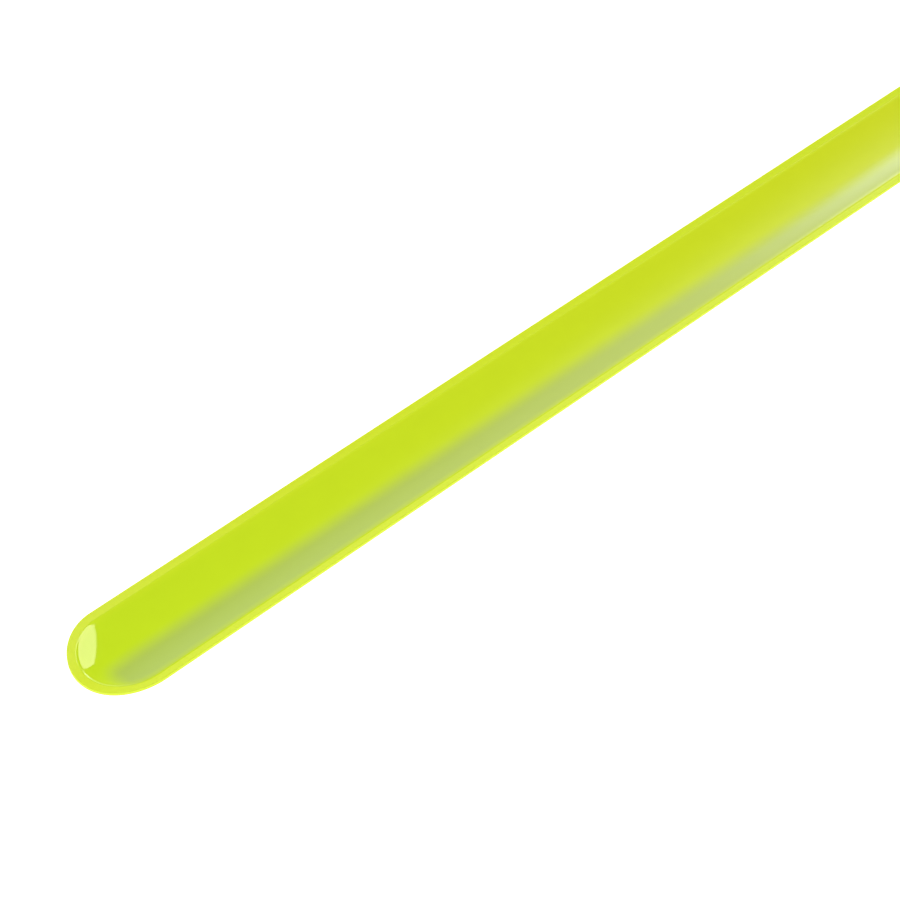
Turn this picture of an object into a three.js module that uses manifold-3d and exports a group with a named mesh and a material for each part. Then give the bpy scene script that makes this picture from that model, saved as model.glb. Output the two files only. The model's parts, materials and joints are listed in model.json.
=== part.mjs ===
// Reflective slap band, lying straight with its decorative face up.
//
// A steel tape is welded into a flat envelope of two dyed PVC films. The tape is a shallow gutter when
// the band is straight, open towards the front, and it snaps into a coil towards its back.
// The band is cut into short links, hinged at the back of the gutter, so that it can follow that coil.
//
// Millimetres. +X runs along the band, +Y across it and +Z out of the front.
// The origin is under the middle of the band, on the lowest line of its back.

import * as THREE from 'three';
import { mergeVertices } from 'three/addons/utils/BufferGeometryUtils.js';
import Module from 'manifold-3d';

// Driving dimensions
const LENGTH = 340;
const WIDTH = 30;
const GUTTER_DEPTH = 2;
const RIM_WIDTH = 2.5;
const FILM = 0.4;
const STEEL = 0.2;
const GUARD = 0.3;
const GUARD_LENGTH = 7;
const CLEARANCE = 0.3;

// How the smooth band is cut up
const LINKS = 19;
const FACETS = 9;
const ARC_STEPS = 20;

// Levels of the layers, each measured up from the back of the gutter
const BACK_TOP = FILM;
const STEEL_BASE = BACK_TOP + CLEARANCE;
const STEEL_TOP = STEEL_BASE + STEEL;
const WELD_BASE = BACK_TOP + CLEARANCE;
const RIM_TOP = WELD_BASE + FILM;
const POCKET_TOP = STEEL_TOP + CLEARANCE;
const PILLOW_TOP = POCKET_TOP + FILM;
const GUARD_BASE = (BACK_TOP + POCKET_TOP - GUARD) / 2;
const GUARD_TOP = GUARD_BASE + GUARD;

// Half widths of the layers. Their round ends share one centre, so these are also the end radii.
const BAND_HALF = WIDTH / 2;
const PILLOW_HALF = BAND_HALF - RIM_WIDTH;
const POCKET_HALF = PILLOW_HALF - FILM;
const STEEL_HALF = POCKET_HALF - CLEARANCE;

const LINK_LENGTH = LENGTH / LINKS;
const FACET_WIDTH = WIDTH / FACETS;
const END_CENTRE = LENGTH / 2 - BAND_HALF;
const FIRST = 1;
const LAST = LINKS;

const wasm = await Module();
wasm.setup();

// A closed geometry as a solid that can be cut and joined.
function solidOf(geometry) {
  geometry.deleteAttribute('normal');
  geometry.deleteAttribute('uv');
  const merged = mergeVertices(geometry);
  const vertProperties = new Float32Array(merged.attributes.position.array);
  const triVerts = new Uint32Array(merged.index.array);
  return new wasm.Manifold(new wasm.Mesh({ numProp: 3, vertProperties, triVerts }));
}

// A solid back as a geometry.
function geometryOf(solid) {
  const { vertProperties, triVerts } = solid.getMesh();
  const geometry = new THREE.BufferGeometry();
  geometry.setAttribute('position', new THREE.BufferAttribute(new Float32Array(vertProperties), 3));
  geometry.setIndex(new THREE.BufferAttribute(new Uint32Array(triVerts), 1));
  geometry.computeVertexNormals();
  return geometry;
}

// Height of the gutter's back at y. The middle facet lies flat at zero, and the edges are the highest.
function gutterHeight(y) {
  const flat = FACET_WIDTH / 2;
  return GUTTER_DEPTH * (y * y - flat * flat) / (BAND_HALF * BAND_HALF - flat * flat);
}

// A layer of the band between two levels, bent into the gutter. It is one facet too wide on each side.
function layer(base, top) {
  const across = [];
  for (let i = -1; i <= FACETS + 1; i += 1) {
    across.push(-BAND_HALF + i * FACET_WIDTH);
  }
  const under = across.map((y) => new THREE.Vector2(y, gutterHeight(y) + base));
  const over = across.map((y) => new THREE.Vector2(y, gutterHeight(y) + top)).reverse();
  const section = new THREE.Shape([...under, ...over]);
  const geometry = new THREE.ExtrudeGeometry(section, { depth: LENGTH, bevelEnabled: false });
  const alongBand = new THREE.Matrix4().makeBasis(
    new THREE.Vector3(0, 1, 0),
    new THREE.Vector3(0, 0, 1),
    new THREE.Vector3(1, 0, 0),
  );
  geometry.applyMatrix4(alongBand);
  geometry.translate(-LENGTH / 2, 0, 0);
  return solidOf(geometry);
}

// An upright block with the outline of the band, or of a narrower layer, from one x to another.
// An end that reaches past the centre of the band's round end is rounded.
function outline(half, from, to) {
  const shape = new THREE.Shape();
  const rightAngle = Math.PI / 2;
  if (from < -END_CENTRE) {
    shape.absarc(-END_CENTRE, 0, half, rightAngle, 3 * rightAngle, false);
  } else {
    shape.moveTo(from, half);
    shape.lineTo(from, -half);
  }
  if (to > END_CENTRE) {
    shape.absarc(END_CENTRE, 0, half, -rightAngle, rightAngle, false);
  } else {
    shape.lineTo(to, -half);
    shape.lineTo(to, half);
  }
  const depth = 4 * GUTTER_DEPTH;
  const options = { depth, bevelEnabled: false, curveSegments: ARC_STEPS };
  const geometry = new THREE.ExtrudeGeometry(shape, options);
  geometry.translate(0, 0, -GUTTER_DEPTH);
  return solidOf(geometry);
}

// A plain block across the whole band, from one x to another.
function block(from, to) {
  const geometry = new THREE.BoxGeometry(to - from, WIDTH, 4 * GUTTER_DEPTH);
  geometry.translate((from + to) / 2, 0, GUTTER_DEPTH);
  return solidOf(geometry);
}

// One layer trimmed to an outline.
function trimmed(base, top, half, from, to) {
  return layer(base, top).intersect(outline(half, from, to));
}

// The back film: flat in its own plane, rim and all.
function backCover(from, to) {
  return trimmed(0, BACK_TOP, BAND_HALF, from, to);
}

// The front film: a welded rim, and a pillow over the steel with a pocket under it.
function frontCover(from, to) {
  const rim = trimmed(WELD_BASE, RIM_TOP, BAND_HALF, from, to);
  const pillow = trimmed(WELD_BASE, PILLOW_TOP, PILLOW_HALF, from, to);
  const pocket = trimmed(BACK_TOP, POCKET_TOP, POCKET_HALF, from - LINK_LENGTH, to + LINK_LENGTH);
  return rim.add(pillow).subtract(pocket);
}

// The steel tape, which stops short of the pocket's round ends to leave room for the guards.
function springStrip(from, to) {
  const cut = END_CENTRE + STEEL_HALF - GUARD_LENGTH - CLEARANCE;
  return trimmed(STEEL_BASE, STEEL_TOP, STEEL_HALF, from, to).intersect(block(-cut, cut));
}

// The half-moon guard between the steel's cut end and the round end of the pocket.
function endGuard(side) {
  const tip = END_CENTRE + STEEL_HALF;
  const cut = tip - GUARD_LENGTH;
  const span = side < 0 ? [-tip, -cut] : [cut, tip];
  return trimmed(GUARD_BASE, GUARD_TOP, STEEL_HALF, -tip, tip).intersect(block(...span));
}

const dyedFilm = () => new THREE.MeshStandardMaterial({ color: '#cce025', roughness: 0.2, metalness: 0 });
const backFilm = () => new THREE.MeshStandardMaterial({ color: '#c3d926', roughness: 0.5, metalness: 0 });
const springSteel = () => new THREE.MeshStandardMaterial({ color: '#8d9196', roughness: 0.35, metalness: 1 });
const guardFelt = () => new THREE.MeshStandardMaterial({ color: '#e8e8e2', roughness: 0.9, metalness: 0 });

function named(name, solid, material) {
  const mesh = new THREE.Mesh(geometryOf(solid), material);
  mesh.name = name;
  return mesh;
}

// The layers of one link. Neighbours keep a clearance between their cut ends.
function link(number) {
  const left = -LENGTH / 2 + (number - 1) * LINK_LENGTH;
  const from = number === FIRST ? left : left + CLEARANCE / 2;
  const to = number === LAST ? left + LINK_LENGTH : left + LINK_LENGTH - CLEARANCE / 2;
  const label = String(number).padStart(2, '0');
  const group = new THREE.Group();
  group.add(named(`back_cover_${label}`, backCover(from, to), backFilm()));
  group.add(named(`spring_strip_${label}`, springStrip(from, to), springSteel()));
  group.add(named(`front_cover_${label}`, frontCover(from, to), dyedFilm()));
  return group;
}

const band = new THREE.Group();
for (let number = FIRST; number <= LAST; number += 1) {
  band.add(link(number));
}
band.add(named('end_guard_left', endGuard(-1), guardFelt()));
band.add(named('end_guard_right', endGuard(1), guardFelt()));

export default band;
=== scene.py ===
"""The finished look of a reflective slap band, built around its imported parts."""
import json
import math

import bmesh
import bpy
from bpy.props import FloatProperty, FloatVectorProperty, IntProperty
from bpy.props import PointerProperty, StringProperty
from mathutils import Matrix, Vector


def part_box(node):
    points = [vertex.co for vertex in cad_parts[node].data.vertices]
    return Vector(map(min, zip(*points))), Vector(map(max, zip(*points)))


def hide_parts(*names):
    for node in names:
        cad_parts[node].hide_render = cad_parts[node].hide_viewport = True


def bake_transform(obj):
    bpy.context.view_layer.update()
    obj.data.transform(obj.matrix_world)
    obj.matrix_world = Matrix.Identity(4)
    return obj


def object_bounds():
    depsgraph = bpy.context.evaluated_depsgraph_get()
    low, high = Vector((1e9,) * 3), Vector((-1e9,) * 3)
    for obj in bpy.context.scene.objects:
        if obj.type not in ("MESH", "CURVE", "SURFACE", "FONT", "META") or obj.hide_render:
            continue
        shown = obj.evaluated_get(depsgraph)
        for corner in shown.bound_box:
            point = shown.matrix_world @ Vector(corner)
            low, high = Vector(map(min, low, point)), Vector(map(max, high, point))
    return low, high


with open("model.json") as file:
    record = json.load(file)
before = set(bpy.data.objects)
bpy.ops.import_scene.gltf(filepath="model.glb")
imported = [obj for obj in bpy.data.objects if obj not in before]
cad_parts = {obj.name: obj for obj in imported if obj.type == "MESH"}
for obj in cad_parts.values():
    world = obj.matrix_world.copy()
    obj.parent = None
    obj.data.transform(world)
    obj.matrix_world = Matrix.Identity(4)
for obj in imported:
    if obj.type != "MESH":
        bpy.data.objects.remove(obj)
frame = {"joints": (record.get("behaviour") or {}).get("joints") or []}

bl_info = {
    "name": "Reflective slap band",
    "version": (1, 0, 0),
    "blender": (4, 5, 0),
    "location": "3D View > Sidebar > Slap band",
    "description": "Films, spring steel and end guards of a reflective slap band, with a plain studio",
    "category": "Object",
}

PACKED_BOX = [list(corner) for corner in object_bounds()]
LOW, HIGH = (Vector(corner) for corner in PACKED_BOX)
MM = 0.001
JOINTS = sorted(frame["joints"], key=lambda joint: joint["pos_m"][0])
HINGES = [joint["pos_m"][0] for joint in JOINTS]
LINK = HINGES[1] - HINGES[0]
SPINE_END = HIGH.x - HIGH.y  # the round ends turn about this place, on both sides
REST_MAP = "rest"

# How far apart two corners of a mesh may lie and still be one, and the angle that stays a crease
SAME_CORNER = 0.002 * MM
CREASE = math.radians(40)

# The prism layer: how much the film bends sight, the slants at which the prisms start to drop out of
# sight and are gone, and how much of their gloss shows then
FILM_BEND = 1.12
PRISM_FADES = 0.636
PRISM_GONE = 0.769
PRISM_SHARE = 0.38

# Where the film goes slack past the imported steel's cut, in mm from the middle of the band
SLACK_FROM = 160.5
SLACK_TO = 166.0

# The weld's glow: its reach in mm, how much of the rim's colour it brings, and how much gloss it takes
GLOW_REACH = 2.4
GLOW_SHARE = 0.36
GLOW_CLEARS = 0.5

PVC_INDEX = 1.53

# Mesh rows in each part of the films' section, and in the steel's
ROUND_TURN = 15  # degrees from one row to the next on the rounded edge
RIM_ROWS = 5
WELD_ROWS = 8
SLOPE_ROWS = 10
PILLOW_ROWS = 12
STEEL_ROWS = 10
TUCK_ROWS = 2

FLOOR_RADIUS = 12.0
FLOOR_SIDES = 96
TIP_SPOT = (LOW.x + 0.01, 0.006, 0.002)  # what the small box shines at: the near tip


def mm(name, value, description):
    """A length property whose default is given in millimetres."""
    return FloatProperty(
        name=name, description=description, default=value * MM, unit="LENGTH", subtype="DISTANCE",
        precision=5
    )


def degrees(name, value, description):
    """An angle property whose default is given in degrees."""
    return FloatProperty(
        name=name, description=description, default=math.radians(value), subtype="ANGLE"
    )


def metres(name, value, description):
    """A length property in metres, for the studio."""
    return FloatProperty(name=name, description=description, default=value, unit="LENGTH")


def watts(name, value, description):
    """A lamp's power in watts."""
    return FloatProperty(name=name, description=description, default=value, unit="POWER")


def point(name, value, description):
    """A point or a direction in metres."""
    return FloatVectorProperty(name=name, description=description, default=value, subtype="XYZ")


def plain_number(name, value, description):
    """A plain number."""
    return FloatProperty(name=name, description=description, default=value)


def colour(name, value, description):
    """An sRGB hex colour property."""
    return StringProperty(name=name, description=description, default=value)


class BandShape(bpy.types.PropertyGroup):
    """Sizes of the films, the steel and their edges. Levels are measured up from the back of the gutter."""

    gutter: mm("Gutter depth", 2.0, "How far the long edges stand above the middle")
    rim: mm("Rim width", 2.2, "Width of the welded rim")
    rim_top: mm("Rim top", 1.05, "Level of the rim's face")
    weld: mm("Weld level", 0.45, "Level where the two films are welded together")
    pillow_top: mm("Pillow top", 1.20, "Level of the face film over the steel")
    film: mm("Film thickness", 0.35, "Thickness of one film")
    edge_round: mm("Edge rounding", 0.2, "Radius on the outer edges of the rim")
    step: mm("Step width", 1.8, "Width of the slope from the rim up to the pillow")
    groove: mm("Groove depth", 0.006, "Depth of the weld line between rim and pillow")
    groove_width: mm("Groove width", 0.12, "Half the width of the weld line")
    end_dip: mm("End dip", 0.2235, "How far the face film sinks at the tips, past the end of the steel")
    under_dip: mm("Under dip", 0.13, "How far the underside of that film sinks there, down to the guard")
    dip_edge: mm("Dip edge", 0.8, "Width along the rim over which the film starts to sink")
    guard: mm("Guard thickness", 0.26, "Thickness of the pad of tape, with the end of the steel in it")
    back_step: mm("Back step", 0.05, "How far the rim is pressed in from the back")
    steel_inset: mm("Steel inset", 3.2, "Distance from the band's edge to the steel's edge")
    steel_base: mm("Steel base", 0.4, "Level of the underside of the steel")
    steel: mm("Steel thickness", 0.2, "Thickness of the spring steel")
    tuck: mm("Tuck", 1.5, "How far one stretch of a layer reaches on inside the next")
    tuck_inset: mm("Tuck inset", 0.03, "How much thinner the tucked end is on every side")
    rows: IntProperty(name="Rows per link", description="Mesh rows along one link", default=16)
    cap_rows: IntProperty(name="Rows round an end", description="Mesh rows round half a circle", default=64)


class BandColours(bpy.types.PropertyGroup):
    """Colours of the band, as sRGB hex."""

    # film and film_far are the face film's colours at the -X end and at the +X end, blended along the band.
    film: colour("Face film", "#C4E41E", "Dyed film over the prism layer, towards one end")
    film_far: colour("Face film, far end", "#D1DE22", "The same film towards the other end of the roll")
    rim: colour("Rim", "#D3E92C", "Welded rim, where both films glow")
    edge: colour("Cut edge", "#D6EC38", "Die-cut edge, which gathers the film's light")
    back: colour("Back film", "#C0D62C", "Satin film on the back")
    prism: colour("Prism gloss", "#8C9C8C", "Reflection off the slanted faces of the prisms")
    steel: colour("Spring steel", "#C9C7C2", "Rolled spring steel")
    tape: colour("Guard tape", "#E4E2D8", "Woven tape over the ends of the steel")
    floor: colour("Floor", "#FFFFFF", "Plain pale floor")
    tip_light: colour("Tip light", "#FFEDEA", "Slightly warm light of the small box")


class BandStudio(bpy.types.PropertyGroup):
    """Where the camera stands and how strong the light is."""

    aim: point("Aim", (-0.0509, -0.005, 0.0024), "Point that the camera looks at")
    distance: metres("Distance", 0.7207, "From the aim to the camera")
    azimuth: degrees("Azimuth", -42.23, "Camera's bearing round the band")
    elevation: degrees("Elevation", 43.02, "Camera's height angle")
    roll: degrees("Roll", -1.97, "Camera's roll")
    lens: plain_number("Lens", 110.0, "Focal length in millimetres")
    floor_drop: mm("Floor drop", 95.0, "How far the floor lies under the band, which coils downwards")
    sky: plain_number("Sky", 1.25, "Brightness of the pale wall round the studio")
    dim: plain_number("Dim", 0.12, "Brightness of the dark ceiling")
    wall_top: degrees("Wall top", 28, "Height angle where the wall starts to fade")
    ceiling: degrees("Ceiling", 50, "Height angle where the wall has faded out")
    key: watts("Key", 10.6, "Power of the main lamp")
    key_place: point("Key place", (-0.35, 0.35, 1.7), "Middle of the main lamp")
    key_size: metres("Key size", 1.2, "Side of the main lamp")
    tip_box: watts("Tip box", 2.46, "Power of the small box mirrored in the near tip")
    tip_place: point("Tip box place", (0.058, 0.309, 0.949), "Middle of the small box")
    tip_width: metres("Tip box width", 0.3, "Its short side")
    tip_length: metres("Tip box length", 0.51, "Its long side")
    tip_along: point("Tip box turn", (-0.186, 0.907, -0.384), "The way its long side runs")
    window: plain_number("Window", 8.0, "Extra brightness of the soft window mirrored along the far end")
    window_azimuth: degrees("Window azimuth", 33, "Bearing of the window from +X")
    window_elevation: degrees("Window elevation", 25, "Height angle of the window")
    window_reach: plain_number("Window reach", 0.28, "Distance on the unit sphere over which it fades out")
    window_squat: plain_number("Window squat", 1.85, "How many times wider than high the window is")


# ---------------------------------------------------------------- shape


def gutter_height(y, shape):
    """Height of the gutter's back at y."""
    return shape.gutter * (y / HIGH.y) ** 2


def ease(t):
    """Smooth step from 0 to 1."""
    t = min(1.0, max(0.0, t))
    return t * t * (3.0 - 2.0 * t)


def spread(start, end, count):
    """Evenly spaced values from start up to, but not including, end."""
    return [start + (end - start) * i / count for i in range(count)]


def film_stations(shape):
    """Distances in from the outer edge at which the films' section has points, closest where it bends."""
    groove_start = shape.rim - 2 * shape.groove_width
    groove_end = shape.rim + 2 * shape.groove_width
    slope_end = shape.rim + shape.step
    turn = [
        shape.edge_round * (1.0 - math.cos(math.radians(a))) for a in range(0, 90, ROUND_TURN)
    ]
    face = spread(shape.edge_round, groove_start, RIM_ROWS)
    groove = spread(groove_start, groove_end, WELD_ROWS)
    slope = spread(groove_end, slope_end, SLOPE_ROWS)
    middle = spread(slope_end, HIGH.y, PILLOW_ROWS)
    return turn + face + groove + slope + middle + [HIGH.y]


def edge_fall(d, shape):
    """How far the rounded outer edge drops at distance d from it."""
    r = shape.edge_round
    return r - math.sqrt(max(0.0, r * r - (r - d) ** 2)) if d < r else 0.0


def bulge(t):
    """From 0 to 1, steepest at the start, as a film swells from its weld."""
    t = min(1.0, max(0.0, t))
    return 1.0 - (1.0 - t) ** 3


def groove_fall(d, shape):
    """Depth of the weld line at distance d from the edge."""
    return shape.groove * math.exp(-(((d - shape.rim) / shape.groove_width) ** 2) / 2.0)


def front_top(d, shape):
    """Face of the front film: rounded edge, rim, weld line, slope and pillow."""
    rise = (shape.pillow_top - shape.rim_top) * bulge((d - shape.rim) / shape.step)
    return shape.rim_top + rise - groove_fall(d, shape) - edge_fall(d, shape)


def front_under(d, shape):
    """Underside of the front film, which lies on the back film at the rim and clears the steel inside."""
    inside = shape.pillow_top - shape.film
    return shape.weld + (inside - shape.weld) * ease((d - shape.rim) / (0.5 * shape.step))


def back_top(d, shape):
    """Inner face of the back film."""
    return shape.weld + (shape.film - shape.weld) * ease((d - shape.rim) / (0.5 * shape.step))


def back_under(d, shape):
    """Back of the band, with its rim pressed in a little."""
    pressed = shape.back_step * (1.0 - ease((d - shape.rim) / shape.step))
    return pressed + edge_fall(d, shape)


def end_sink(x, d, shape, dip):
    """How far a face of the front film sinks at a place near a tip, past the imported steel's cut."""
    past = max(0.0, abs(x) - SPINE_END) / (HIGH.y - shape.rim - shape.step)
    return dip * past ** 2 * ease((d - shape.rim) / shape.dip_edge)


def level_film(x, d, shape, dip):
    """A layer that doesn't sink at the tips."""
    return 0.0


def section(stations, top, under, shape):
    """Half a section as (distance from the edge, top level, under level)."""
    return [(d, top(d, shape), under(d, shape)) for d in stations]


def straight_rows(start, end, count, side, inset=0.0):
    """Rows along a straight stretch: the x of each on the spine, the way to its edge, and its inset."""
    return [(start + (end - start) * i / count, 0.0, side, inset) for i in range(count + 1)]


def round_rows(centre, outward, count):
    """Rows round an end, from the +Y side through the tip to the -Y side."""
    angles = [math.pi * i / count for i in range(count + 1)]
    return [(centre, outward * math.sin(a), math.cos(a), 0.0) for a in angles]


def strip(mesh, rows, half, shape, zones, sink):
    """Adds the top, the underside and the outer wall of half a section swept along rows."""
    uv = mesh.loops.layers.uv[REST_MAP]

    def corner(row, d, level, outward, dip):
        middle, along, across, inset = row
        reach = max(0.0, HIGH.y - d - inset)
        x, y = middle + along * reach, across * reach
        return Vector((x, y, gutter_height(y, shape) + level - outward * inset - sink(x, d, shape, dip)))

    tops = [
        [mesh.verts.new(corner(row, d, top, 1, shape.end_dip)) for d, top, _ in half]
        for row in rows
    ]
    unders = [
        [mesh.verts.new(corner(row, d, under, -1, shape.under_dip)) for d, _, under in half]
        for row in rows
    ]

    def face(corners, zone):
        made = mesh.faces.new(corners)
        made.material_index = zone
        made.smooth = True
        for loop in made.loops:
            loop[uv].uv = loop.vert.co.xy

    for i in range(len(rows) - 1):
        for k in range(len(half) - 1):
            zone = zones((half[k][0] + half[k + 1][0]) / 2)
            face((tops[i][k], tops[i][k + 1], tops[i + 1][k + 1], tops[i + 1][k]), zone)
            face((unders[i][k], unders[i + 1][k], unders[i + 1][k + 1], unders[i][k + 1]), zone)
        face((tops[i][0], tops[i + 1][0], unders[i + 1][0], unders[i][0]), zones(0.0))
    return tops, unders


def close_end(mesh, tops, unders, zones, half):
    """Closes a cut end with a face between each pair of stations."""
    for k in range(len(half) - 1):
        made = mesh.faces.new((tops[k], unders[k], unders[k + 1], tops[k + 1]))
        made.material_index = zones((half[k][0] + half[k + 1][0]) / 2)


def layer_mesh(name, half, shape, zones, start, end, sink):
    """One stretch of a layer from x start to x end.

    A start or end past the middle of one of the band's round ends isn't a cut. The layer is drawn round
    there, out to its own distance from the band's edge."""
    mesh = bmesh.new()
    mesh.loops.layers.uv.new(REST_MAP)
    left_centre, right_centre = -SPINE_END, SPINE_END
    rounded_left, rounded_right = start < left_centre, end > right_centre
    inner_start = left_centre if rounded_left else start
    inner_end = right_centre if rounded_right else end
    count = max(2, round(shape.rows * (inner_end - inner_start) / LINK))
    for side in (1.0, -1.0):
        rows = straight_rows(inner_start, inner_end, count, side)
        if not rounded_left:
            tucked = straight_rows(start - shape.tuck, start, TUCK_ROWS, side, shape.tuck_inset)
            rows = tucked + rows
        tops, unders = strip(mesh, rows, half, shape, zones, sink)
        if not rounded_left:
            close_end(mesh, tops[0], unders[0], zones, half)
        if not rounded_right:
            close_end(mesh, tops[-1], unders[-1], zones, half)
    if rounded_left:
        strip(mesh, round_rows(left_centre, -1.0, shape.cap_rows), half, shape, zones, sink)
    if rounded_right:
        strip(mesh, round_rows(right_centre, 1.0, shape.cap_rows), half, shape, zones, sink)
    return finished(mesh, name)


def finished(mesh, name):
    """Welds a mesh's seams, turns its faces outward and puts it in the scene as a piece."""
    bmesh.ops.remove_doubles(mesh, verts=mesh.verts, dist=SAME_CORNER)
    bmesh.ops.dissolve_degenerate(mesh, edges=mesh.edges, dist=SAME_CORNER)
    bmesh.ops.recalc_face_normals(mesh, faces=mesh.faces)
    data = bpy.data.meshes.new(name)
    mesh.to_mesh(data)
    mesh.free()
    data.set_sharp_from_angle(angle=CREASE)
    piece = bpy.data.objects.new(name, data)
    bpy.context.scene.collection.objects.link(piece)
    return piece


def guard_mesh(name, outward, shape):
    """A half-moon pad of tape over the end of the steel, straight on its inner side."""
    low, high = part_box("end_guard_right")
    radius = high.x - SPINE_END
    first = math.asin((low.x - SPINE_END) / radius)
    mesh = bmesh.new()
    uv = mesh.loops.layers.uv.new(REST_MAP)
    level = shape.steel_base - (shape.guard - shape.steel) / 2

    def row(turn, base):
        x = outward * (SPINE_END + radius * math.sin(turn))
        width = radius * math.cos(turn)
        ys = [width * (2.0 * i / shape.rows - 1.0) for i in range(shape.rows + 1)]
        return [mesh.verts.new((x, y, gutter_height(y, shape) + base)) for y in ys]

    count = shape.rows
    turns = [first + (math.pi / 2 - first) * i / count for i in range(count + 1)]
    tops = [row(turn, level + shape.guard) for turn in turns]
    unders = [row(turn, level) for turn in turns]
    quads = []
    for i in range(count):
        for k in range(count):
            quads.append((tops[i][k], tops[i][k + 1], tops[i + 1][k + 1], tops[i + 1][k]))
            quads.append((unders[i][k], unders[i + 1][k], unders[i + 1][k + 1], unders[i][k + 1]))
        for k in (0, count):
            quads.append((tops[i][k], tops[i + 1][k], unders[i + 1][k], unders[i][k]))
        quads.append((tops[0][i], unders[0][i], unders[0][i + 1], tops[0][i + 1]))
    for corners in quads:
        made = mesh.faces.new(corners)
        made.smooth = True
        for loop in made.loops:
            loop[uv].uv = loop.vert.co.xy
    return finished(mesh, name)


def bend(piece, number):
    """Bakes a piece's placement into its mesh."""
    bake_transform(piece)


def build_layer(prefix, half, shape, zones, materials, nodes, reach, sink=level_film):
    """A layer of the band as one piece for each hinge, which meet in the middle of the links."""
    for number, x in enumerate(HINGES, start=1):
        start = -reach if number == 1 else x - LINK / 2
        end = reach if number == len(HINGES) else x + LINK / 2
        piece = layer_mesh(f"{prefix}_{number:02d}", half, shape, zones, start, end, sink)
        for material in materials:
            piece.data.materials.append(material)
        bend(piece, number)
        stood_for = [f"{nodes}_{number:02d}"]
        if number == len(HINGES):
            stood_for.append(f"{nodes}_{number + 1:02d}")
        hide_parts(*stood_for)


# ---------------------------------------------------------------- materials


def linear(code):
    """An sRGB hex colour as linear RGBA."""
    parts = [int(code.lstrip("#")[i:i + 2], 16) / 255.0 for i in (0, 2, 4)]
    return tuple(c / 12.92 if c <= 0.04045 else ((c + 0.055) / 1.055) ** 2.4 for c in parts) + (1.0,)


def node(tree, kind, settings=(), links=()):
    """Adds a node. Settings go to its fields or, by a socket's name or number, to its inputs, and links
    feed its inputs."""
    made = tree.nodes.new(kind)
    for key, value in dict(settings).items():
        if isinstance(key, str) and hasattr(made, key):
            setattr(made, key, value)
        else:
            made.inputs[key].default_value = value
    for key, source in dict(links).items():
        tree.links.new(source, made.inputs[key])
    return made


def new_material(name):
    """An empty node material and its tree."""
    material = bpy.data.materials.new(name)
    material.use_nodes = True
    material.node_tree.nodes.clear()
    return material, material.node_tree


def millimetres(tree):
    """The piece's own coordinates at rest, in millimetres, so that patterns stay put as it bends."""
    rest = node(tree, "ShaderNodeUVMap", {"uv_map": REST_MAP})
    return node(
        tree, "ShaderNodeVectorMath", {"operation": "SCALE", "Scale": 1.0 / MM}, {0: rest.outputs["UV"]}
    )


def deeper(rgba, share):
    """The same colour with its light scaled."""
    return tuple(c * share for c in rgba[:3]) + (1.0,)


def prism_slant(tree):
    """Tangent of the slant, across the band, at which sight meets the prisms after the film has bent it.

    The band's cross direction comes from its normal, so it stays right as the band bends."""
    surface = node(tree, "ShaderNodeNewGeometry").outputs["Normal"]
    length = node(
        tree, "ShaderNodeVectorMath", {"operation": "CROSS_PRODUCT", 0: (0.0, 1.0, 0.0)}, {1: surface}
    )
    across = node(
        tree, "ShaderNodeVectorMath", {"operation": "CROSS_PRODUCT"}, {0: surface, 1: length.outputs[0]}
    )
    unit = node(tree, "ShaderNodeVectorMath", {"operation": "NORMALIZE"}, {0: across.outputs[0]})
    sideways = node(tree, "ShaderNodeLayerWeight", {"Blend": 0.5}, {"Normal": unit.outputs[0]})
    head_on = node(tree, "ShaderNodeLayerWeight", {"Blend": 0.5})
    to_side = node(
        tree, "ShaderNodeMath", {"operation": "SUBTRACT", 0: 1.0}, {1: sideways.outputs["Facing"]}
    )
    to_normal = node(
        tree, "ShaderNodeMath", {"operation": "SUBTRACT", 0: 1.0}, {1: head_on.outputs["Facing"]}
    )
    squared = node(
        tree,
        "ShaderNodeMath",
        {"operation": "MULTIPLY"},
        {0: to_normal.outputs[0], 1: to_normal.outputs[0]},
    )
    bent = node(
        tree, "ShaderNodeMath", {"operation": "ADD", 1: FILM_BEND ** 2 - 1.0}, {0: squared.outputs[0]}
    )
    depth = node(tree, "ShaderNodeMath", {"operation": "SQRT"}, {0: bent.outputs[0]})
    slant = node(
        tree, "ShaderNodeMath", {"operation": "DIVIDE"}, {0: to_side.outputs[0], 1: depth.outputs[0]}
    )
    return slant.outputs[0]


def weld_glow(tree, spot, rim):
    """How near a place is to the weld, from 0 to 1.

    The weld runs at one distance from the spine, which ends at the middles of the two round ends."""
    weld = (HIGH.y - rim) / MM
    split = node(tree, "ShaderNodeSeparateXYZ", links={0: spot})
    along = node(tree, "ShaderNodeMath", {"operation": "ABSOLUTE"}, {0: split.outputs["X"]})
    past = node(
        tree, "ShaderNodeMath", {"operation": "SUBTRACT", 1: SPINE_END / MM}, {0: along.outputs[0]}
    )
    clipped = node(tree, "ShaderNodeMath", {"operation": "MAXIMUM", 1: 0.0}, {0: past.outputs[0]})
    spoke = node(
        tree, "ShaderNodeCombineXYZ", links={"X": clipped.outputs[0], "Y": split.outputs["Y"]}
    )
    radius = node(tree, "ShaderNodeVectorMath", {"operation": "LENGTH"}, {0: spoke.outputs[0]})
    glow = node(
        tree,
        "ShaderNodeMapRange",
        {"interpolation_type": "SMOOTHSTEP", "From Min": weld - GLOW_REACH, "From Max": weld},
        {"Value": radius.outputs["Value"]},
    )
    return glow.outputs[0]


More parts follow.
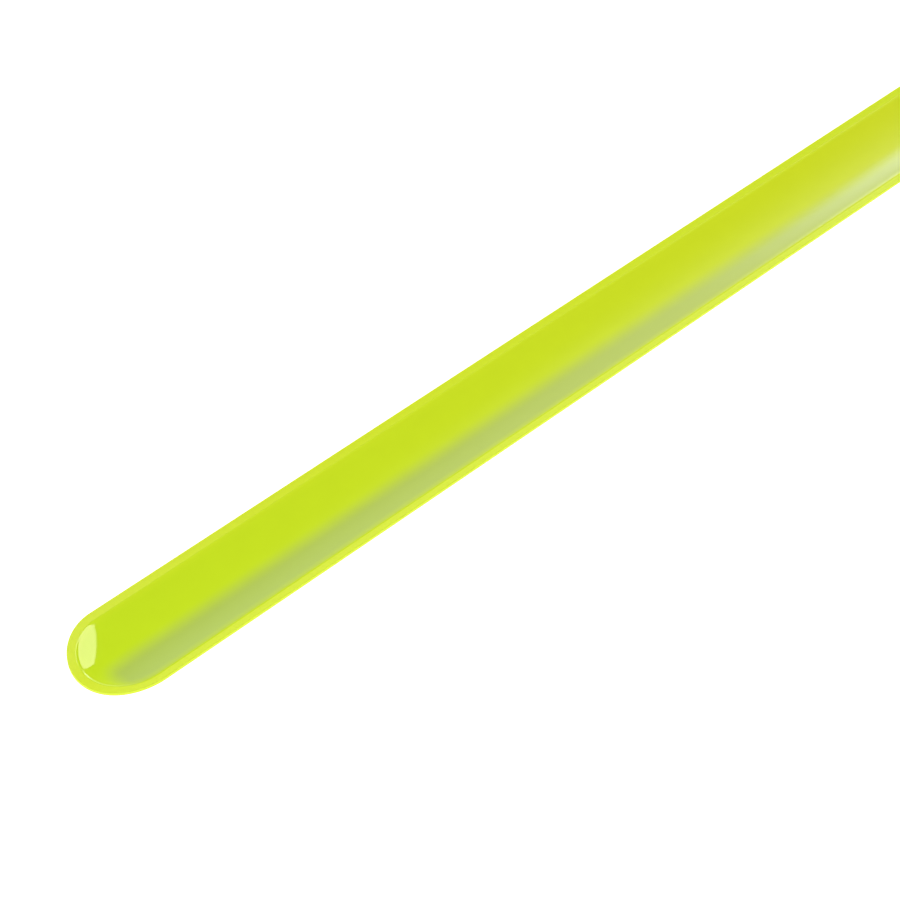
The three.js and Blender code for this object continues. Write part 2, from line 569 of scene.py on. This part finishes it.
def film_shade(tree, spot, glow, colours):
    """The film's colour. It runs from greener at -X to yellower at +X, and takes on the rim's colour by the
    weld.

    The clouds are about 8 mm across. The prism cells, 2.4 to the millimetre, are too fine to show as such,
    and give only a faint mottle."""
    cloud = node(
        tree, "ShaderNodeTexNoise", {"Scale": 0.12, "Detail": 2.0, "Roughness": 0.5}, {"Vector": spot}
    )
    cell = node(tree, "ShaderNodeTexVoronoi", {"Scale": 2.4, "Randomness": 0.15}, {"Vector": spot})
    mottle = node(
        tree,
        "ShaderNodeMath",
        {"operation": "MULTIPLY_ADD", 1: 0.25},
        {0: cell.outputs[0], 2: cloud.outputs[0]},
    )
    split = node(tree, "ShaderNodeSeparateXYZ", links={0: spot})
    along = node(
        tree,
        "ShaderNodeMapRange",
        {"From Min": LOW.x / MM, "From Max": HIGH.x / MM},
        {"Value": split.outputs["X"]},
    )
    roll = node(
        tree,
        "ShaderNodeMix",
        {"data_type": "RGBA", 6: linear(colours.film), 7: linear(colours.film_far)},
        {0: along.outputs[0]},
    )
    light = node(tree, "ShaderNodeMapRange", {"To Min": 0.97, "To Max": 1.02}, {"Value": mottle.outputs[0]})
    body = node(
        tree,
        "ShaderNodeVectorMath",
        {"operation": "SCALE"},
        {0: roll.outputs[2], "Scale": light.outputs[0]},
    )
    part = node(tree, "ShaderNodeMath", {"operation": "MULTIPLY", 1: GLOW_SHARE}, {0: glow})
    shade = node(
        tree,
        "ShaderNodeMix",
        {"data_type": "RGBA", 7: linear(colours.rim)},
        {0: part.outputs[0], 6: body.outputs[0]},
    )
    return shade.outputs[2]


def gloss_share(tree, spot, glow):
    """How much of the prisms' own gloss shows: only where they are out of sight, less by the weld, and
    none past the steel, where the film lies slack."""
    hidden = node(
        tree,
        "ShaderNodeMapRange",
        {"interpolation_type": "SMOOTHSTEP", "From Min": PRISM_FADES, "From Max": PRISM_GONE,
         "To Max": PRISM_SHARE},
        {"Value": prism_slant(tree)},
    )
    split = node(tree, "ShaderNodeSeparateXYZ", links={0: spot})
    from_middle = node(tree, "ShaderNodeMath", {"operation": "ABSOLUTE"}, {0: split.outputs["X"]})
    taut = node(
        tree,
        "ShaderNodeMapRange",
        {"interpolation_type": "SMOOTHSTEP", "From Min": SLACK_FROM, "From Max": SLACK_TO,
         "To Min": 1.0, "To Max": 0.0},
        {"Value": from_middle.outputs[0]},
    )
    clear = node(
        tree, "ShaderNodeMath", {"operation": "MULTIPLY_ADD", 1: -GLOW_CLEARS, 2: 1.0}, {0: glow}
    )
    held = node(
        tree, "ShaderNodeMath", {"operation": "MULTIPLY"}, {0: clear.outputs[0], 1: taut.outputs[0]}
    )
    shown = node(
        tree, "ShaderNodeMath", {"operation": "MULTIPLY"}, {0: hidden.outputs[0], 1: held.outputs[0]}
    )
    return shown.outputs[0]


def prism_film(shape, colours):
    """Clear dyed PVC, calendered smooth, over a micro-prism layer: wet gloss on a glowing yellow.

    Where the prism faces turn out of sight they stop sending light back, and their grey gloss shows."""
    material, tree = new_material("calendered_pvc_over_prisms")
    spot = millimetres(tree).outputs[0]
    glow = weld_glow(tree, spot, shape.rim)
    wave = node(tree, "ShaderNodeTexNoise", {"Scale": 0.2, "Detail": 1.0}, {"Vector": spot})
    bump = node(
        tree, "ShaderNodeBump", {"Strength": 0.1, "Distance": 0.02 * MM}, {"Height": wave.outputs[0]}
    )
    film = node(
        tree,
        "ShaderNodeBsdfPrincipled",
        {"Roughness": 0.45, "IOR": PVC_INDEX, "Specular IOR Level": 0.0, "Coat Weight": 1.0,
         "Coat Roughness": 0.03, "Coat IOR": PVC_INDEX, "Emission Color": linear(colours.film),
         "Emission Strength": 0.08},
        {"Base Color": film_shade(tree, spot, glow, colours), "Coat Normal": bump.outputs[0]},
    )
    gloss = node(tree, "ShaderNodeBsdfGlossy", {"Color": linear(colours.prism), "Roughness": 0.3})
    surface = node(
        tree,
        "ShaderNodeMixShader",
        links={0: gloss_share(tree, spot, glow), 1: film.outputs[0], 2: gloss.outputs[0]},
    )
    node(tree, "ShaderNodeOutputMaterial", links={"Surface": surface.outputs[0]})
    return material


def welded_rim(colours):
    """Two PVC films fused by high-frequency welding: brighter than the face, with a soft pressed sheen."""
    material, tree = new_material("welded_pvc_rim")
    base = linear(colours.rim)
    spot = millimetres(tree).outputs[0]
    grain = node(tree, "ShaderNodeTexNoise", {"Scale": 0.8, "Detail": 3.0}, {"Vector": spot})
    shade = node(
        tree,
        "ShaderNodeMix",
        {"data_type": "RGBA", 6: deeper(base, 0.95), 7: deeper(base, 1.03)},
        {0: grain.outputs[0]},
    )
    bump = node(
        tree, "ShaderNodeBump", {"Strength": 0.1, "Distance": 0.1 * MM}, {"Height": grain.outputs[0]}
    )
    film = node(
        tree,
        "ShaderNodeBsdfPrincipled",
        {"Roughness": 0.3, "IOR": PVC_INDEX, "Specular IOR Level": 0.18, "Emission Color": base,
         "Emission Strength": 0.06},
        {"Base Color": shade.outputs[2], "Normal": bump.outputs[0]},
    )
    node(tree, "ShaderNodeOutputMaterial", links={"Surface": film.outputs[0]})
    return material


def cut_edge(colours):
    """Die-cut edge of dyed PVC: matte, and the brightest part, because light leaves the film there."""
    material, tree = new_material("die_cut_pvc_edge")
    base = linear(colours.edge)
    spot = millimetres(tree).outputs[0]
    grain = node(tree, "ShaderNodeTexNoise", {"Scale": 3.0, "Detail": 2.0}, {"Vector": spot})
    shade = node(
        tree,
        "ShaderNodeMix",
        {"data_type": "RGBA", 6: deeper(base, 0.94), 7: deeper(base, 1.02)},
        {0: grain.outputs[0]},
    )
    film = node(
        tree,
        "ShaderNodeBsdfPrincipled",
        {"Roughness": 0.5, "IOR": PVC_INDEX, "Specular IOR Level": 0.18, "Emission Color": base,
         "Emission Strength": 0.1},
        {"Base Color": shade.outputs[2]},
    )
    node(tree, "ShaderNodeOutputMaterial", links={"Surface": film.outputs[0]})
    return material


def satin_back(colours):
    """PVC film embossed with a fine leather grain of 0.7 mm cells: satin, with painted shade darkening the
    creases.
    """
    material, tree = new_material("embossed_pvc_back")
    base = linear(colours.back)
    spot = millimetres(tree).outputs[0]
    grain = node(
        tree, "ShaderNodeTexVoronoi", {"feature": "DISTANCE_TO_EDGE", "Scale": 1.4}, {"Vector": spot}
    )
    crease_depth_and_shade = node(
        tree, "ShaderNodeMapRange", {"From Min": 0.0, "From Max": 0.12}, {"Value": grain.outputs[0]}
    )
    # Painted shade: the grain's creases are coloured darker, standing in for the shade that falls in them.
    shade = node(
        tree, "ShaderNodeMix", {"data_type": "RGBA", 6: deeper(base, 0.86), 7: base}, {0: crease_depth_and_shade.outputs[0]}
    )
    bump = node(
        tree, "ShaderNodeBump", {"Strength": 0.5, "Distance": 0.12 * MM}, {"Height": crease_depth_and_shade.outputs[0]}
    )
    # The emission paints a faint glow over the back film, light that no lamp gives.
    film = node(
        tree,
        "ShaderNodeBsdfPrincipled",
        {"Roughness": 0.5, "IOR": PVC_INDEX, "Emission Color": base, "Emission Strength": 0.1},
        {"Base Color": shade.outputs[2], "Normal": bump.outputs[0]},
    )
    node(tree, "ShaderNodeOutputMaterial", links={"Surface": film.outputs[0]})
    return material


def rolled_steel(colours):
    """Cold-rolled spring steel: bright grey with fine lines along the strip, eight to the millimetre."""
    material, tree = new_material("cold_rolled_steel")
    base = linear(colours.steel)
    spot = millimetres(tree).outputs[0]
    lines = node(tree, "ShaderNodeMapping", {"Scale": (0.05, 8.0, 1.0)}, {"Vector": spot})
    grain = node(tree, "ShaderNodeTexNoise", {"Scale": 1.0, "Detail": 4.0}, {"Vector": lines.outputs[0]})
    shade = node(
        tree, "ShaderNodeMix", {"data_type": "RGBA", 6: deeper(base, 0.8), 7: base}, {0: grain.outputs[0]}
    )
    rough = node(tree, "ShaderNodeMapRange", {"To Min": 0.22, "To Max": 0.38}, {"Value": grain.outputs[0]})
    metal = node(
        tree,
        "ShaderNodeBsdfPrincipled",
        {"Metallic": 1.0},
        {"Base Color": shade.outputs[2], "Roughness": rough.outputs[0]},
    )
    node(tree, "ShaderNodeOutputMaterial", links={"Surface": metal.outputs[0]})
    return material


def woven_tape(colours):
    """Woven cotton tape: dull off-white with a plain weave of 0.4 mm threads."""
    material, tree = new_material("woven_cotton_tape")
    base = linear(colours.tape)
    weave = node(tree, "ShaderNodeTexChecker", {"Scale": 2.5}, {"Vector": millimetres(tree).outputs[0]})
    shade = node(
        tree, "ShaderNodeMix", {"data_type": "RGBA", 6: deeper(base, 0.8), 7: base}, {0: weave.outputs["Fac"]}
    )
    bump = node(
        tree, "ShaderNodeBump", {"Strength": 0.6, "Distance": 0.1 * MM}, {"Height": weave.outputs["Fac"]}
    )
    cloth = node(
        tree,
        "ShaderNodeBsdfPrincipled",
        {"Roughness": 0.95, "Sheen Weight": 0.2},
        {"Base Color": shade.outputs[2], "Normal": bump.outputs[0]},
    )
    node(tree, "ShaderNodeOutputMaterial", links={"Surface": cloth.outputs[0]})
    return material


# ---------------------------------------------------------------- operators


class BAND_OT_front_cover(bpy.types.Operator):
    """Builds the glossy front film with its welded rim"""

    bl_idname = "band.front_cover"
    bl_label = "Front cover"

    def execute(self, context):
        shape, colours = context.scene.band_shape, context.scene.band_colours
        half = section(film_stations(shape), front_top, front_under, shape)
        materials = [prism_film(shape, colours), welded_rim(colours), cut_edge(colours)]
        face, rim, edge = range(len(materials))

        def zones(d):
            if d < 0.5 * shape.edge_round:
                return edge
            return rim if d < shape.rim else face

        build_layer(
            "front_film", half, shape, zones, materials, "front_cover", HIGH.x, end_sink
        )
        return {"FINISHED"}


class BAND_OT_back_cover(bpy.types.Operator):
    """Builds the satin back film"""

    bl_idname = "band.back_cover"
    bl_label = "Back cover"

    def execute(self, context):
        shape, colours = context.scene.band_shape, context.scene.band_colours
        half = section(film_stations(shape), back_top, back_under, shape)
        materials = [satin_back(colours), cut_edge(colours)]
        satin, edge = range(len(materials))

        def zones(d):
            return edge if d < 0.5 * shape.edge_round else satin

        build_layer("back_film", half, shape, zones, materials, "back_cover", HIGH.x)
        return {"FINISHED"}


class BAND_OT_spring_strip(bpy.types.Operator):
    """Builds the bistable steel strip inside the films"""

    bl_idname = "band.spring_strip"
    bl_label = "Spring strip"

    def execute(self, context):
        shape, colours = context.scene.band_shape, context.scene.band_colours
        stations = spread(shape.steel_inset, HIGH.y, STEEL_ROWS) + [HIGH.y]
        half = [(d, shape.steel_base + shape.steel, shape.steel_base) for d in stations]
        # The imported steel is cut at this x. Here it is drawn round instead, and runs on inside the guards.
        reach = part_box("spring_strip_19")[1].x
        build_layer(
            "steel_strip", half, shape, lambda d: 0, [rolled_steel(colours)],
            "spring_strip", reach
        )
        return {"FINISHED"}


class BAND_OT_end_guards(bpy.types.Operator):
    """Finishes the tape guards over the cut ends of the steel"""

    bl_idname = "band.end_guards"
    bl_label = "End guards"

    def execute(self, context):
        shape, tape = context.scene.band_shape, woven_tape(context.scene.band_colours)
        for side, outward, number in (("left", -1.0, 1), ("right", 1.0, len(HINGES))):
            piece = guard_mesh(f"guard_tape_{side}", outward, shape)
            piece.data.materials.append(tape)
            bend(piece, number)
            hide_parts(f"end_guard_{side}")
        return {"FINISHED"}


def look(studio):
    """The direction from the aim to the camera."""
    flat = math.cos(studio.elevation)
    return Vector((
        math.sin(studio.azimuth) * flat,
        -math.cos(studio.azimuth) * flat,
        math.sin(studio.elevation),
    ))


def add_camera(studio):
    """The camera, turned to the aim and rolled."""
    data = bpy.data.cameras.new("camera")
    data.lens = studio.lens
    data.clip_start = 0.01
    camera = bpy.data.objects.new("camera", data)
    back = look(studio)
    turn = (-back).to_track_quat("-Z", "Y").to_matrix() @ Matrix.Rotation(studio.roll, 3, "Z")
    camera.matrix_world = Matrix.Translation(Vector(studio.aim) + back * studio.distance) @ turn.to_4x4()
    bpy.context.scene.collection.objects.link(camera)
    bpy.context.scene.camera = camera
    return camera


def add_lamp(name, place, target, size, power, up=(0.0, 0.0, 1.0)):
    """A soft rectangular lamp that shines at a point. Its second side runs as nearly along up as it can."""
    data = bpy.data.lights.new(name, "AREA")
    data.shape = "RECTANGLE"
    data.size, data.size_y = size
    data.energy = power
    lamp = bpy.data.objects.new(name, data)
    back = (Vector(place) - Vector(target)).normalized()
    across = Vector(up).cross(back).normalized()
    turn = Matrix((across, back.cross(across), back)).transposed().to_4x4()
    lamp.matrix_world = Matrix.Translation(place) @ turn
    bpy.context.scene.collection.objects.link(lamp)
    return lamp


def add_sky(studio):
    """A pale wall all round that fades into a dim ceiling, with a soft oval window in it."""
    world = bpy.data.worlds.new("studio")
    world.use_nodes = True
    tree = world.node_tree
    tree.nodes.clear()
    direction = node(tree, "ShaderNodeTexCoord")
    height = node(tree, "ShaderNodeSeparateXYZ", links={0: direction.outputs["Generated"]})
    level = node(
        tree,
        "ShaderNodeMapRange",
        {"interpolation_type": "SMOOTHSTEP", "From Min": math.sin(studio.wall_top),
         "From Max": math.sin(studio.ceiling), "To Min": studio.sky, "To Max": studio.dim},
        {"Value": height.outputs["Z"]},
    )
    flat = math.cos(studio.window_elevation)
    middle = (
        flat * math.cos(studio.window_azimuth),
        flat * math.sin(studio.window_azimuth),
        math.sin(studio.window_elevation),
    )
    off = node(
        tree,
        "ShaderNodeVectorMath",
        {"operation": "SUBTRACT", 1: middle},
        {0: direction.outputs["Generated"]},
    )
    squat = node(
        tree,
        "ShaderNodeVectorMath",
        {"operation": "MULTIPLY", 1: (1.0, 1.0, studio.window_squat)},
        {0: off.outputs[0]},
    )
    away = node(tree, "ShaderNodeVectorMath", {"operation": "LENGTH"}, {0: squat.outputs[0]})
    window = node(
        tree,
        "ShaderNodeMapRange",
        {"interpolation_type": "SMOOTHSTEP", "From Min": 0.0, "From Max": studio.window_reach,
         "To Min": studio.window, "To Max": 0.0},
        {"Value": away.outputs["Value"]},
    )
    total = node(
        tree, "ShaderNodeMath", {"operation": "ADD"}, {0: level.outputs[0], 1: window.outputs[0]}
    )
    glow = node(tree, "ShaderNodeBackground", links={"Strength": total.outputs[0]})
    node(tree, "ShaderNodeOutputWorld", links={"Surface": glow.outputs[0]})
    bpy.context.scene.world = world


def add_floor(studio, colours):
    """A plain pale floor, far enough down that the band can coil above it."""
    mesh = bmesh.new()
    bmesh.ops.create_circle(mesh, cap_ends=True, segments=FLOOR_SIDES, radius=FLOOR_RADIUS)
    data = bpy.data.meshes.new("floor")
    mesh.to_mesh(data)
    mesh.free()
    floor = bpy.data.objects.new("floor", data)
    floor.location.z = -studio.floor_drop
    bpy.context.scene.collection.objects.link(floor)
    material, tree = new_material("white_studio_paint")
    base = linear(colours.floor)
    place = node(tree, "ShaderNodeTexCoord")
    grain = node(tree, "ShaderNodeTexNoise", {"Scale": 40.0}, {"Vector": place.outputs["Object"]})
    shade = node(
        tree,
        "ShaderNodeMix",
        {"data_type": "RGBA", 6: deeper(base, 0.9), 7: deeper(base, 0.92)},
        {0: grain.outputs[0]},
    )
    paint = node(
        tree,
        "ShaderNodeBsdfPrincipled",
        {"Roughness": 0.9, "Specular IOR Level": 0.1, "Emission Color": base, "Emission Strength": 0.75},
        {"Base Color": shade.outputs[2]},
    )
    node(tree, "ShaderNodeOutputMaterial", links={"Surface": paint.outputs[0]})
    floor.data.materials.append(material)


class BAND_OT_studio(bpy.types.Operator):
    """Sets up the plain floor, the soft light and the camera"""

    bl_idname = "band.studio"
    bl_label = "Studio"

    def execute(self, context):
        studio, colours = context.scene.band_studio, context.scene.band_colours
        context.scene.view_settings.view_transform = "Standard"
        add_camera(studio)
        add_sky(studio)
        add_floor(studio, colours)
        key_sides = (studio.key_size, studio.key_size)
        add_lamp("key_lamp", studio.key_place, (0, 0, 0), key_sides, studio.key)
        box_sides = (studio.tip_width, studio.tip_length)
        box = add_lamp(
            "tip_box", studio.tip_place, TIP_SPOT, box_sides, studio.tip_box, up=studio.tip_along
        )
        box.data.color = linear(colours.tip_light)[:3]
        return {"FINISHED"}


class BAND_PT_panel(bpy.types.Panel):
    """Lists the steps that build the band"""

    bl_idname = "BAND_PT_panel"
    bl_label = "Slap band"
    bl_space_type = "VIEW_3D"
    bl_region_type = "UI"
    bl_category = "Slap band"

    def draw(self, context):
        for step in STEPS:
            self.layout.operator(step.bl_idname)
        for group in ("band_shape", "band_colours", "band_studio"):
            settings = getattr(context.scene, group)
            for key in settings.bl_rna.properties.keys():
                if key not in {"rna_type", "name"}:
                    self.layout.prop(settings, key)


STEPS = (BAND_OT_studio, BAND_OT_front_cover, BAND_OT_back_cover, BAND_OT_spring_strip, BAND_OT_end_guards)
GROUPS = {"band_shape": BandShape, "band_colours": BandColours, "band_studio": BandStudio}


def register():
    for cls in (*GROUPS.values(), *STEPS, BAND_PT_panel):
        bpy.utils.register_class(cls)
    for name, group in GROUPS.items():
        setattr(bpy.types.Scene, name, PointerProperty(type=group))


def unregister():
    for name in GROUPS:
        delattr(bpy.types.Scene, name)
    for cls in reversed((*GROUPS.values(), *STEPS, BAND_PT_panel)):
        bpy.utils.unregister_class(cls)


def main():
    register()
    bpy.ops.band.studio()
    bpy.ops.band.front_cover()
    bpy.ops.band.back_cover()
    bpy.ops.band.spring_strip()
    bpy.ops.band.end_guards()


if __name__ == "__main__":
    main()
